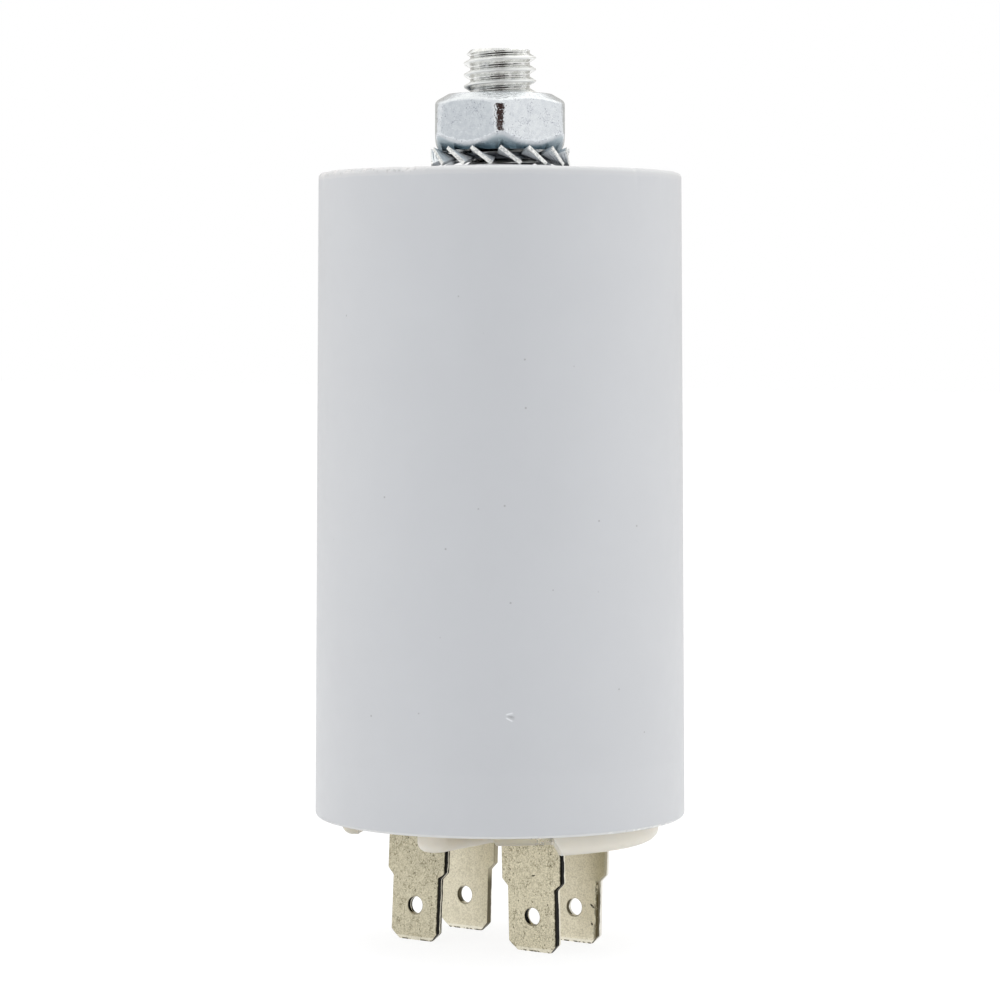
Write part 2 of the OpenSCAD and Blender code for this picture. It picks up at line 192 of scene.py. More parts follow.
# Marks and rough spots on the blades, in millimetres and degrees: middle, half sizes along X and Z, tilt
BLADE_MARK_DEPTH = 1.2 * MM
BLADE_MARKS = (
    ((7.71, -4.52, -75.59), (0.36, 0.10), 12),
    ((-8.71, -5.11, -72.61), (0.12, 0.26), 8),
    ((-9.13, -5.10, -72.30), (0.55, 0.08), -4),
    ((9.84, 3.59, -79.72), (0.46, 0.15), -36),
    ((9.83, 3.52, -81.66), (0.15, 0.38), 28),
)
ROUGH_SPOTS = (
    ((-9.72, -5.68, -81.87), (0.42, 0.36), 0),
    ((5.24, -4.37, -79.74), (0.40, 0.50), 0),
    ((9.45, -4.38, -79.50), (0.40, 0.62), 0),
)

# Lid: middle and half of the angle of its thin wings, and where they start
WING_ANGLE = math.radians(-47)
WING_HALF_ANGLE = math.radians(12)
WING_START_RADIUS = 15.1 * MM

# Lock washer: its tooth tips, and the radii between which painted shade darkens its teeth toward the middle
TOOTH_TIP_RADIUS = 7.5 * MM
TOOTH_SHADE_RADII = (6.55 * MM, 6.0 * MM)

# Edges: the turn that is sharp, the reach in which points merge, and the rounding of the soft pieces
SHARP_ANGLE = math.radians(35)
MERGE_REACH = 1e-7
WELD_REACH = 0.002 * MM
BEVEL_ANGLE = math.radians(28)
BEVEL_SEGMENTS = 3
WASHER_EDGE = 0.04 * MM
LID_EDGE = 0.12 * MM
TERMINAL_EDGE = 0.12 * MM
RIVET_EDGE = 0.08 * MM

# Colours of the case: its plastic with painted light where its wall is thin, then its edges with painted
# highlights, its wear, and its nick with painted shade
CASE_TONES = ((0.585, 0.594, 0.612), (0.615, 0.624, 0.642))
CASE_THIN_WALL_GLOW = (0.63, 0.64, 0.655)
CASE_SPECK = (0.34, 0.34, 0.35)
CASE_SPECK_SPACING = 3.4 * MM
CASE_SPECK_RADIUS = 0.14 * MM
CASE_EDGE_HIGHLIGHT = (0.72, 0.71, 0.705)
CASE_RIM_HIGHLIGHT = (0.67, 0.67, 0.665)
CASE_RUBBED = (0.72, 0.705, 0.70)
CASE_GRIME = (0.36, 0.35, 0.34)
CASE_LIP_HIGHLIGHT_AND_CHIPS = (0.90, 0.90, 0.88)
CASE_NICK_SHADE = (0.46, 0.46, 0.47)
CASE_STREAK = (0.84, 0.85, 0.87)

# Colours of the lid, with painted light on its barrier
LID_TONES = ((0.735, 0.70, 0.62), (0.785, 0.75, 0.67))
LID_BARRIER_PAINTED_LIGHT = (0.92, 0.86, 0.76)
LID_WING = (0.98, 0.92, 0.79)

# Colours of the terminals: plate, brighter on the back blades by painted light, grain, marks and wear of
# the faces, then the sheared edges with painted shade on the front ones
BACK_TIN_LIT_TONES = ((0.780, 0.725, 0.570), (0.870, 0.815, 0.645))
FRONT_TIN_TONES = ((0.620, 0.572, 0.428), (0.700, 0.648, 0.492))
TIN_GRAIN = (0.40, 0.360, 0.245)
TIN_LINE = (0.22, 0.195, 0.12)
TIN_CRINKLE = (0.27, 0.235, 0.14)
TIN_PIT = (0.09, 0.075, 0.04)
TIN_SMUDGE = (0.17, 0.145, 0.09)
TIN_MARK = (0.03, 0.025, 0.015)
TIN_EDGE_STRIP = (0.02, 0.017, 0.01)
TIN_SCUFF = (0.12, 0.10, 0.05)
TIN_STAIN_AND_SHADE = (0.36, 0.32, 0.17)
TIN_RING = (0.14, 0.12, 0.07)
TIN_TIP = (0.95, 0.91, 0.78)
TIN_END = (0.10, 0.085, 0.05)
BACK_TORN_TONES = ((0.34, 0.305, 0.215), (0.10, 0.085, 0.05))
FRONT_TORN_SHADE = (0.002, 0.0018, 0.001)
POLISHED_TONES = ((0.80, 0.78, 0.71), (0.80, 0.76, 0.64))

# Zinc plate: name, tones, height of its waves, reach of the painted shade in its crevices, and how open
# dark and plain ones are
NUT_PLATE = ("nut_steel", ((0.67, 0.70, 0.73), (0.745, 0.775, 0.795)), 0.05 * MM, 2.2 * MM, (0.22, 0.85))
STUD_PLATE = ("stud_steel", ((0.72, 0.725, 0.70), (0.90, 0.905, 0.89)), 0.006 * MM, 1.3 * MM, (0.08, 0.5))
WASHER_TONES = ((0.82, 0.865, 0.895), (0.92, 0.95, 0.965))
WASHER_PLATE = ("washer_steel", WASHER_TONES, 0.02 * MM, 1.1 * MM, (0.12, 0.42))

# Other colours of the nut, stud and washer: painted shade, painted reflection and a painted highlight among
# them
ZINC_SPOT = (0.27, 0.28, 0.34)
ZINC_CREVICE_SHADE = (0.020, 0.032, 0.045)
NUT_BEVEL_SHADE_TONES = ((0.10, 0.155, 0.19), (0.58, 0.66, 0.70))
STUD_ROOT_SHADE = (0.03, 0.03, 0.027)
STUD_CREST_HIGHLIGHT = (0.88, 0.885, 0.87)
WASHER_INSIDE_SHADE = (0.016, 0.026, 0.036)
WASHER_CUT_TONES = ((1.0, 0.995, 0.96), (0.62, 0.63, 0.61))

# Room
FLOOR_LEVEL = cad_box[0][2]
FLOOR_SIZE = 6
FLOOR_GLOW = 0.85
FLOOR_SHADE = 0.22
FLOOR_PLAIN = 0.8
SIDE_LIGHT = (0.92, 0.915, 0.905)
FRONT_LIGHT = (0.60, 0.64, 0.695)
SEEN_RAYS = ("Is Camera Ray", "Is Glossy Ray", "Is Transmission Ray")

# Cards: name, angle from the view and height angle in degrees, half width and height, and two tones
CARD_DISTANCE = 620 * MM
CARD_CLOUD_SIZE = 80 * MM
CARDS = (
    ("dark_card", 0, 4, (225 * MM, 190 * MM), ((0.026, 0.012, 0.010), (0.100, 0.058, 0.050))),
    ("grey_card", -62, 4, (260 * MM, 290 * MM), ((0.74, 0.76, 0.78), (0.85, 0.86, 0.87))),
    ("back_card", 180, 11, (900 * MM, 200 * MM), ((0.60, 0.59, 0.565), (0.72, 0.71, 0.685))),
    ("left_bright_card", -152, 56, (330 * MM, 230 * MM), ((1.14, 1.13, 1.10), (1.28, 1.27, 1.24))),
    ("right_bright_card", 152, 56, (330 * MM, 230 * MM), ((1.34, 1.33, 1.29), (1.48, 1.47, 1.43))),
)

# Lamps: the side ones have a name, a side and a power in watts
LAMP_COLOUR = (1.0, 0.985, 0.965)
SIDE_LAMPS = (("left_lamp", -1, 0.78), ("right_lamp", 1, 0.95))
SIDE_LAMP_REACH = 480 * MM
SIDE_LAMP_FORWARD = 160 * MM
SIDE_LAMP_SIZES = (420 * MM, 660 * MM)
TOP_LAMP_LEVEL = 500 * MM
TOP_LAMP_BACK = 130 * MM
TOP_LAMP_SIZES = (600 * MM, 600 * MM)
TOP_LAMP_POWER = 1.5


def set_inputs(node, inputs):
    """Sets some inputs of a node to values, or links them to sockets."""
    for key, value in inputs.items():
        if isinstance(value, bpy.types.NodeSocket):
            node.id_data.links.new(value, node.inputs[key])
        else:
            node.inputs[key].default_value = value


def new_node(tree, kind, inputs=None, **settings):
    """A new node of a tree, with its settings and with inputs that are values or sockets to link."""
    node = tree.nodes.new(kind)
    for name, value in settings.items():
        setattr(node, name, value)
    set_inputs(node, inputs or {})
    return node


def add(kind, inputs, **settings):
    """A new node in the tree of a socket that is among its inputs."""
    tree = next(value.id_data for value in inputs.values() if isinstance(value, bpy.types.NodeSocket))
    return new_node(tree, kind, inputs, **settings)


def calculate(operation, *values):
    """The result of a math node on one to three values or sockets."""
    return add("ShaderNodeMath", dict(enumerate(values)), operation=operation).outputs[0]


def chained(operation, values):
    """The result of a math operation on some values or sockets, one after the other."""
    total = values[0]
    for value in values[1:]:
        total = calculate(operation, total, value)
    return total


def product(*values):
    """The product of some values or sockets, such as 1 where all of some masks are 1."""
    return chained("MULTIPLY", values)


def any_of(*values):
    """The largest of some values or sockets, such as 1 where any of some masks is 1."""
    return chained("MAXIMUM", values)


def size_of(value):
    """A value without its sign."""
    return calculate("ABSOLUTE", value)


def axes_of(vector):
    """The outputs X, Y and Z of a vector."""
    return add("ShaderNodeSeparateXYZ", {0: vector}).outputs


def along(vector, way):
    """How far a vector reaches along a direction."""
    node = add("ShaderNodeVectorMath", {0: vector, 1: way}, operation="DOT_PRODUCT")
    return node.outputs["Value"]


def length_of(vector):
    """The length of a vector."""
    return add("ShaderNodeVectorMath", {0: vector}, operation="LENGTH").outputs["Value"]


def stretched(place, factors):
    """The place with each axis multiplied by a factor, to draw a texture out along an axis."""
    return add("ShaderNodeVectorMath", {0: place, 1: factors}, operation="MULTIPLY").outputs[0]


def from_axis(place):
    """Distance of a place from the part's axis."""
    return length_of(stretched(place, LEVEL_AXES))


def ramp(value, low, high, start=0.0, end=1.0):
    """A value that goes smoothly from start to end as another goes from low to high."""
    limits = {"Value": value, "From Min": low, "From Max": high, "To Min": start, "To Max": end}
    return add("ShaderNodeMapRange", limits, interpolation_type="SMOOTHSTEP").outputs[0]


def by_share(share, at_none, at_full):
    """A value that goes smoothly from one value to another as a share goes from 0 to 1."""
    return ramp(share, 0, 1, at_none, at_full)


def blend(share, first, second):
    """A colour between two colours or colour sockets."""
    node = add("ShaderNodeMix", {"Factor": share}, data_type="RGBA")
    for key, value in ((6, first), (7, second)):
        is_socket = isinstance(value, bpy.types.NodeSocket)
        set_inputs(node, {key: value if is_socket else (*value, 1)})
    return node.outputs[2]


def cloud(place, size, detail=3.0, roughness=0.55):
    """Smooth noise whose lumps have about the given size in metres."""
    inputs = {"Vector": place, "Scale": 1 / size, "Detail": detail, "Roughness": roughness}
    return add("ShaderNodeTexNoise", inputs).outputs["Fac"]


def patches(place, size, low, high, start=0.0, end=1.0):
    """Patches of about a size in metres: start where a noise is low, and end where it is high."""
    return ramp(cloud(place, size), low, high, start, end)


def specks(place, spacing, radius):
    """Scattered round specks: 1 in a speck and 0 elsewhere. Spacing and radius are in metres."""
    cells = add("ShaderNodeTexVoronoi", {"Vector": place, "Scale": 1 / spacing})
    reach = radius / spacing
    return ramp(cells.outputs["Distance"], reach, reach / 2)


def squiggles(place, size, width):
    """Short curved lines of a noise's middle level: 1 on a line and 0 elsewhere."""
    level = calculate("SUBTRACT", cloud(place, size, 1.0), 0.5)
    line = ramp(size_of(level), width, 0.0)
    broken = ramp(cloud(place, 2.3 * size, 1.0), 0.46, 0.56)
    return product(line, broken)


def new_material(name):
    """A plain material with its shader and the place of a point in the object's own frame."""
    material = bpy.data.materials.new(name)
    material.use_nodes = True
    tree = material.node_tree
    place = new_node(tree, "ShaderNodeTexCoord").outputs["Object"]
    return material, tree.nodes["Principled BSDF"], place


def facing_of(material, normal):
    """The axes of one of the surface's normals."""
    return axes_of(new_node(material.node_tree, "ShaderNodeNewGeometry").outputs[normal])


def set_bump(shader, height, strength, distance):
    """Fine relief on a shader."""
    bump = add("ShaderNodeBump", {"Height": height, "Strength": strength, "Distance": distance})
    set_inputs(shader, {"Normal": bump.outputs[0]})


def streak(across, level, start, end, width):
    """A soft streak on the case's side between two points (across, level): 1 on it and 0 elsewhere."""
    run, rise = end[0] - start[0], end[1] - start[1]
    length = math.hypot(run, rise)
    from_x = calculate("SUBTRACT", across, (start[0] + end[0]) / 2)
    from_z = calculate("SUBTRACT", level, (start[1] + end[1]) / 2)
    lengthwise = calculate("MULTIPLY_ADD", from_x, run / length, product(from_z, rise / length))
    sideways = calculate("MULTIPLY_ADD", from_x, -rise / length, product(from_z, run / length))
    on_line = ramp(size_of(sideways), width, 0.0)
    within = ramp(size_of(lengthwise), length / 2 + width, length / 2 - width)
    return product(on_line, within)


def moulded_grey(place, level):
    """Colour of the case's plastic: faintly clouded and specked, and made paler by painted light where its
    wall is thin.
    """
    clouded = blend(cloud(place, 9 * MM), *CASE_TONES)
    # Painted light: the plastic is paler where its wall is thin, as if light shone through it.
    thin_wall_glow = ramp(level, LID_INNER_LEVEL + 0.4 * MM, LID_INNER_LEVEL - 0.4 * MM, 0.0, 0.15)
    lit = blend(thin_wall_glow, clouded, CASE_THIN_WALL_GLOW)
    dots = specks(place, CASE_SPECK_SPACING, CASE_SPECK_RADIUS)
    return blend(product(dots, 0.7), lit, CASE_SPECK)


def highlighted_and_worn_rim(place, level, across, colour):
    """The case's colour with a painted highlight along its top edge, which is also rubbed and grimy on the
    left.
    """
    wavy_level = calculate("MULTIPLY_ADD", cloud(place, 1.5 * MM), 0.5 * MM, level)
    # Painted highlight: a paler band along the rounded top edge, stronger on the left.
    under_edge_highlight = ramp(wavy_level, -0.72 * MM, -0.52 * MM, 0.0, 0.35)
    edge_highlight_share = product(under_edge_highlight, ramp(across, 4 * MM, -4 * MM, 0.5, 1.0))
    edge_highlighted = blend(edge_highlight_share, colour, CASE_EDGE_HIGHLIGHT)
    near_end = ramp(level, -0.75 * MM, -0.3 * MM)
    near_rim = ramp(from_axis(place), 18.6 * MM, 19.2 * MM)
    on_rim = product(near_end, near_rim)
    # Painted highlight: the rounded rim is made paler.
    smooth = blend(product(on_rim, 0.5), edge_highlighted, CASE_RIM_HIGHLIGHT)
    left_share = ramp(across, -6 * MM, -10 * MM)
    rubbed = product(on_rim, patches(place, 0.8 * MM, 0.40, 0.62), left_share)
    worn = blend(rubbed, smooth, CASE_RUBBED)
    grime = product(on_rim, patches(place, 0.45 * MM, 0.52, 0.68, 0.0, 0.5), left_share)
    return blend(grime, worn, CASE_GRIME)


def highlighted_and_chipped_lip(place, level, across, colour):
    """The case's colour with a painted highlight along its lower edge, and pale chips on it on the right.
    """
    on_lip = ramp(level, MOUTH_LEVEL + 0.75 * MOUTH_EDGE, MOUTH_LEVEL + 0.4 * MOUTH_EDGE)
    # Painted highlight on the lower edge's rounding, strongest in the middle of the view.
    pale = ramp(size_of(across), 18 * MM, 12 * MM, 0.25, 0.5)
    right_share = ramp(across, 10 * MM, 12 * MM)
    chips = product(patches(place, 0.6 * MM, 0.48, 0.58), right_share)
    return blend(product(on_lip, any_of(pale, chips)), colour, CASE_LIP_HIGHLIGHT_AND_CHIPS)


def streaked_and_shaded_nick(place, level, across, colour):
    """The case's colour with painted shade in its nick, and the nick's pale streaks."""
    in_front = ramp(along(place, TOWARD_CAMERA), 10 * MM, 12 * MM)
    # Painted shade: a dark line between the nick's two raised edges.
    scar = streak(across, level, *NICK_SHADE_ENDS, 2 * NICK_STREAK_WIDTH)
    nick_shaded = blend(product(scar, in_front), colour, CASE_NICK_SHADE)
    streaks = [streak(across, level, *ends, NICK_STREAK_WIDTH) for ends in NICK_STREAKS]
    return blend(product(any_of(*streaks), in_front), nick_shaded, CASE_STREAK)


def case_plastic():
    """Moulded grey plastic with painted light where its wall is thin, a worn top edge and a pale lower edge
    with painted highlights, and a nick with painted shade.
    """
    material, shader, place = new_material("case_plastic")
    level = axes_of(place)["Z"]
    across = along(place, ACROSS_VIEW)
    colour = moulded_grey(place, level)
    for wear in (highlighted_and_worn_rim, highlighted_and_chipped_lip, streaked_and_shaded_nick):
        colour = wear(place, level, across, colour)
    set_inputs(shader, {"Base Color": colour, "Roughness": patches(place, 2 * MM, 0.3, 0.7, 0.42, 0.52)})
    set_bump(shader, cloud(place, 0.16 * MM), 0.12, 0.02 * MM)
    return material


def wing_share(place):
    """1 on the lid's two thin wings and 0 elsewhere."""
    level_place = stretched(place, LEVEL_AXES)
    outward = add("ShaderNodeVectorMath", {0: level_place}, operation="NORMALIZE").outputs[0]
    wing_way = (math.cos(WING_ANGLE), math.sin(WING_ANGLE), 0)
    facing = size_of(along(outward, wing_way))
    turned_to = calculate("GREATER_THAN", facing, math.cos(WING_HALF_ANGLE))
    outside = calculate("GREATER_THAN", from_axis(place), WING_START_RADIUS)
    return product(turned_to, outside)


def lid_plastic():
    """Cream plastic that glows a little inside, with a barrier made pale by painted light, and wings that
    let light through.
    """
    material, shader, place = new_material("lid_plastic")
    wing = wing_share(place)
    cream = blend(cloud(place, 2.5 * MM), *LID_TONES)
    from_barrier = size_of(axes_of(place)["X"])
    # Painted light: the barrier is paler than the rest of the lid.
    pale = blend(ramp(from_barrier, 3.2 * MM, 2.0 * MM, 0.0, 0.6), cream, LID_BARRIER_PAINTED_LIGHT)
    satin = patches(place, 1 * MM, 0.3, 0.7, 0.35, 0.5)
    set_inputs(shader, {
        "Base Color": blend(wing, pale, LID_WING),
        "Roughness": product(satin, by_share(wing, 1.0, 0.7)),
        "Transmission Weight": product(wing, 0.7),
        "Subsurface Weight": 0.6,
        "Subsurface Radius": (1.0, 0.9, 0.75),
        "Subsurface Scale": 1.5 * MM,
    })
    set_bump(shader, cloud(place, 0.3 * MM), 0.1, 0.03 * MM)
    return material


class BladeSpot:
    """Where a point lies on the blades: shares of 1 on the front and the left ones, and its distances."""

    def __init__(self, place):
        axes = axes_of(place)
        terminal_middle = product(calculate("SIGN", axes["X"]), BLADE_MIDDLE)
        self.place = place
        self.y = axes["Y"]
        self.level = axes["Z"]
        self.front = ramp(axes["Y"], *BLADE_ZONE)
        self.left = ramp(axes["X"], *BLADE_ZONE)
        self.from_middle = calculate("SUBTRACT", axes["X"], terminal_middle)


def blade_depth(spot, bent):
    """Place across a blade's thickness: 0 on its face toward -Y and 1 on its other face."""
    slope = by_share(bent, math.tan(BLADE_LEAN), math.tan(BENT_BLADE_LEAN))
    drop = calculate("SUBTRACT", BLADE_FOLD_LEVEL, spot.level)
    reach = calculate("MULTIPLY_ADD", drop, slope, BLADE_FOLD_REACH)
    middle = product(reach, by_share(spot.front, 1.0, -1.0))
    from_middle = calculate("SUBTRACT", spot.y, middle)
    return calculate("MULTIPLY_ADD", from_middle, 1 / BLADE_THICKNESS, 0.5)


def sheared_edge(spot):
    """Colour of a blade's sheared edge: dark where it was torn, near black on the front blades by painted
    shade, and pale where the tool polished it.
    """
    bent = product(spot.front, spot.left)
    drawn_out = stretched(spot.place, (1, 1, 0.3))
    wander = calculate("SUBTRACT", cloud(drawn_out, 0.5 * MM), 0.5)
    depth = calculate("MULTIPLY_ADD", wander, 0.5, blade_depth(spot, bent))
    back_start = by_share(spot.left, *BACK_POLISH_STARTS)
    front_start = by_share(spot.left, *FRONT_POLISH_STARTS)
    start = add("ShaderNodeMix", {"Factor": spot.front, "A": back_start, "B": front_start}).outputs[0]
    polished = ramp(calculate("SUBTRACT", depth, start), -0.04, 0.06)
    from_tear = size_of(calculate("SUBTRACT", depth, SECOND_TEAR_DEPTH))
    second_tear = product(ramp(from_tear, 0.16, 0.10), bent)
    pale_share = calculate("SUBTRACT", polished, second_tear)
    low_share = ramp(spot.level, BLADE_SHOULDER_LEVEL, BLADE_SHOULDER_LEVEL - 1.5 * MM)
    # The front blades' torn edges are painted near black: dark torn metal with painted shade on it.
    torn = blend(spot.front, blend(low_share, *BACK_TORN_TONES), FRONT_TORN_SHADE)
    return blend(pale_share, torn, blend(spot.front, *POLISHED_TONES))


def tin_plate(spot):
    """Clouded colour of the blades' tin, brighter by painted light on the back ones and on the right ones
    than on the front ones.
    """
    shade = cloud(spot.place, 1.3 * MM, 2.0)
    # Painted light: the back blades get brighter tones than the front ones.
    lit_back_plate = blend(shade, *BACK_TIN_LIT_TONES)
    front_plate = blend(shade, *FRONT_TIN_TONES)
    even = blend(spot.front, lit_back_plate, front_plate)
    # Painted light: the right blades are made brighter.
    painted_light_scale = by_share(spot.left, 1.10, 1.03)
    return add("ShaderNodeVectorMath", {0: even, "Scale": painted_light_scale}, operation="SCALE").outputs[0]


def rolled_tin(spot):
    """The blades' rolled faces, coarser in front: their colour, their fine grain and their dents."""
    place = spot.place
    fine = ramp(cloud(place, 0.17 * MM, 3.0, 0.6), 0.38, 0.64)
    grain = product(fine, by_share(spot.front, 0.3, 0.62))
    rolled = blend(grain, tin_plate(spot), TIN_GRAIN)
    coarse_share = by_share(spot.front, 0.25, 1.0)
    lines = product(squiggles(place, 0.42 * MM, 0.052), coarse_share)
    grained = blend(product(lines, 0.75), rolled, TIN_LINE)
    worms = squiggles(stretched(place, (1.3, 1, 0.8)), 0.5 * MM, 0.08)
    high_share = ramp(spot.level, *CRINKLE_LEVELS, 0.0, 0.5)
    crinkled = blend(product(worms, high_share, spot.front), grained, TIN_CRINKLE)
    pits = specks(stretched(place, (1, 1, 0.6)), 0.42 * MM, 0.095 * MM)
    some = ramp(cloud(place, 0.9 * MM, 1.0), 0.42, 0.60)
    holes = product(pits, some, coarse_share)
    pitted = blend(product(holes, 0.9), crinkled, TIN_PIT)
    dents = calculate("ADD", lines, product(holes, 2.0))
    return pitted, fine, dents


def oval(place, middle, half_sizes, tilt):
    """A soft oval on a face that looks along Y, tilted about Y: 1 in its middle and 0 outside."""
    width, height = half_sizes
    mapping = add("ShaderNodeMapping", {
        "Vector": place,
        "Location": [value * MM for value in middle],
        "Rotation": (0, -math.radians(tilt), 0),
        "Scale": (width * MM, BLADE_MARK_DEPTH, height * MM),
    }, vector_type="TEXTURE")
    return ramp(length_of(mapping.outputs[0]), 1.0, 0.5)


def marked_tin(spot, colour):
    """The blades' colour with their rough spots and dark marks."""
    broken = ramp(cloud(spot.place, 0.14 * MM, 3.0, 0.65), 0.48, 0.60, 0.0, 0.8)
    rough = any_of(*(oval(spot.place, *detail) for detail in ROUGH_SPOTS))
    smudged = blend(product(rough, broken), colour, TIN_SMUDGE)
    marks = any_of(*(oval(spot.place, *detail) for detail in BLADE_MARKS))
    ragged = patches(spot.place, 0.2 * MM, 0.34, 0.48)
    return blend(product(marks, ragged), smudged, TIN_MARK)


def worn_margin(spot, colour):
    """The blades' colour with a dark strip along the front ones' right edges, and the right back one's
    scuffs and its stain with painted shade.
    """
    shoulder_top = BLADE_SHOULDER_LEVEL + BLADE_SHOULDER_HEIGHT
    half_widths = (BLADE_HALF_WIDTH, BLADE_SHOULDER_HALF_WIDTH)
    half_width = ramp(spot.level, BLADE_SHOULDER_LEVEL, shoulder_top, *half_widths)
    from_right = calculate("SUBTRACT", half_width, spot.from_middle)
    uneven = calculate("MULTIPLY_ADD", cloud(spot.place, 0.5 * MM), 0.3 * MM, from_right)
    # A dark ragged strip along the front blades' right edges.
    edge_strip = product(ramp(uneven, 0.42 * MM, 0.28 * MM), spot.front)
    edge_stripped = blend(edge_strip, colour, TIN_EDGE_STRIP)

    right_back = product(by_share(spot.front, 1.0, 0.0), by_share(spot.left, 1.0, 0.0))
    below_shoulder = ramp(spot.level, BLADE_SHOULDER_LEVEL + 0.3 * MM, BLADE_SHOULDER_LEVEL - 0.3 * MM)
    margin = ramp(from_right, 0.8 * MM, 0.1 * MM)
    lumps = cloud(stretched(spot.place, (1, 1, 0.45)), 0.45 * MM, 3.0, 0.6)
    rubbed = ramp(calculate("MULTIPLY_ADD", margin, 0.3, lumps), 0.62, 0.74)
    scuffs = product(rubbed, margin, below_shoulder, right_back)
    scuffed = blend(scuffs, edge_stripped, TIN_SCUFF)
    # Stain and painted shade: the right back blade darkens toward its right edge above its shoulder.
    to_right = ramp(spot.from_middle, 1.2 * MM, 3.8 * MM, 0.0, 0.45)
    above_shoulder = by_share(below_shoulder, 1.0, 0.0)
    return blend(product(to_right, right_back, above_shoulder), scuffed, TIN_STAIN_AND_SHADE)


def ringed_hole(spot, on_face, colour):
    """The blades' colour with a dark ring round each latch hole."""
    from_hole = calculate("SUBTRACT", spot.level, LATCH_HOLE_LEVEL)
    level_square = product(from_hole, from_hole)
    squares = calculate("MULTIPLY_ADD", spot.from_middle, spot.from_middle, level_square)
    from_rim = calculate("SUBTRACT", calculate("SQRT", squares), LATCH_HOLE_RADIUS)
    return blend(product(ramp(from_rim, 0.16 * MM, 0.05 * MM), on_face), colour, TIN_RING)


def bright_tip(spot, colour):
    """The blades' colour with a bright band at the tip and a broken dark line at its end."""
    tip = ramp(spot.level, BLADE_TIP_LEVEL + 0.5 * MM, BLADE_TIP_LEVEL + 0.38 * MM)
    tipped = blend(product(tip, by_share(spot.front, 0.9, 0.5)), colour, TIN_TIP)
    end_line = ramp(spot.level, BLADE_TIP_LEVEL + 0.22 * MM, BLADE_TIP_LEVEL + 0.12 * MM)
    frayed = patches(spot.place, 0.5 * MM, 0.45, 0.55)
    return blend(product(end_line, frayed), tipped, TIN_END)


def tinned_brass():
    """Tinned brass strip: grained and worn on its rolled faces, with painted light on the back blades, dark
    and pale on its sheared edges, with painted shade on the front ones.
    """
    material, shader, place = new_material("tinned_brass")
    spot = BladeSpot(place)
    facing = facing_of(material, "Normal")
    on_face = ramp(size_of(facing["Y"]), 0.6, 0.9, 0.0, 0.55)
    on_edge = ramp(size_of(facing["X"]), 0.35, 0.6)
    rolled, fine, dents = rolled_tin(spot)
    worn = worn_margin(spot, marked_tin(spot, rolled))
    face = bright_tip(spot, ringed_hole(spot, on_face, worn))
    set_inputs(shader, {
        "Base Color": blend(on_edge, face, sheared_edge(spot)),
        "Roughness": by_share(fine, 0.34, 0.48),
        "Metallic": 0.8,
        "Specular IOR Level": 0.2,
    })
    set_bump(shader, calculate("SUBTRACT", fine, dents), 0.3, 0.02 * MM)
    return material


def zinc_plate(name, tones, waves, crevice_reach, crevice):
    """Zinc plate with a faint bloom, specks and painted shade in its crevices: material, shader, place and
    colour.
    """
    material, shader, place = new_material(name)
    bloom = cloud(place, 0.55 * MM, 4.0)
    plate = blend(ramp(bloom, 0.34, 0.66), *tones)
    some = ramp(cloud(place, 1.6 * MM, 1.0), 0.40, 0.56)
    dots = specks(place, 0.4 * MM, 0.06 * MM)
    spots = any_of(dots, squiggles(place, 0.4 * MM, 0.022))
    spotted = blend(product(spots, some), plate, ZINC_SPOT)
    tree = material.node_tree
    # Painted shade: near black where other surfaces close round the point.
    crevice_shade = new_node(tree, "ShaderNodeAmbientOcclusion", {"Distance": crevice_reach}, samples=8)
    colour = blend(ramp(crevice_shade.outputs["AO"], *crevice), ZINC_CREVICE_SHADE, spotted)
    set_inputs(shader, {"Metallic": 1.0})
    set_bump(shader, cloud(place, 0.36 * MM, 2.0), 1.0, waves)
    return material, shader, place, colour


def nut_steel():
    """Bluish zinc plate of the nut, with painted shade and a painted dark reflection on the bevel over the
    washer.
    """
    material, shader, place, colour = zinc_plate(*NUT_PLATE)
    level = axes_of(place)["Z"]
    # Painted shade: the nut's faces that look down are darker, most near its seat.
    downward = ramp(facing_of(material, "True Normal")["Z"], -0.3, -0.6)
    shade = blend(ramp(level, NUT_LOW.z, NUT_LOW.z + 1.6 * MM), *NUT_BEVEL_SHADE_TONES)
    satin = patches(place, 0.8 * MM, 0.3, 0.7, 0.10, 0.17)
    set_inputs(shader, {"Base Color": blend(downward, colour, shade), "Roughness": satin})
    return material


def root_shade_lines(place):
    """Painted shade: broken dark lines along the thread's roots, faint beside the middle of the view: up to
    1 on a line.
    """
    axes = axes_of(place)
    angle = calculate("ARCTAN2", axes["Y"], axes["X"])
    climb = calculate("MULTIPLY_ADD", angle, -1 / TURN, (VIEW_ANGLE - TURN / 4) / TURN)
    rise = calculate("MULTIPLY_ADD", axes["Z"], 1 / THREAD_PITCH, -THREAD_CREST_LEVEL / THREAD_PITCH)
    from_crest = calculate("PINGPONG", calculate("ADD", rise, climb), 0.5)
    on_root = ramp(from_crest, 0.41, 0.45)
    dashes = patches(stretched(place, (1, 1, 3)), 0.7 * MM, 0.36, 0.50, 0.3, 0.97)
    from_middle = size_of(along(place, ACROSS_VIEW))
    mid_share = ramp(from_middle, 2.7 * MM, 1.1 * MM, 0.3, 1.0)
    below_end = ramp(axes["Z"], STUD_HIGH.z - 0.25 * MM, STUD_HIGH.z - 0.45 * MM)
    return product(on_root, dashes, mid_share, below_end)


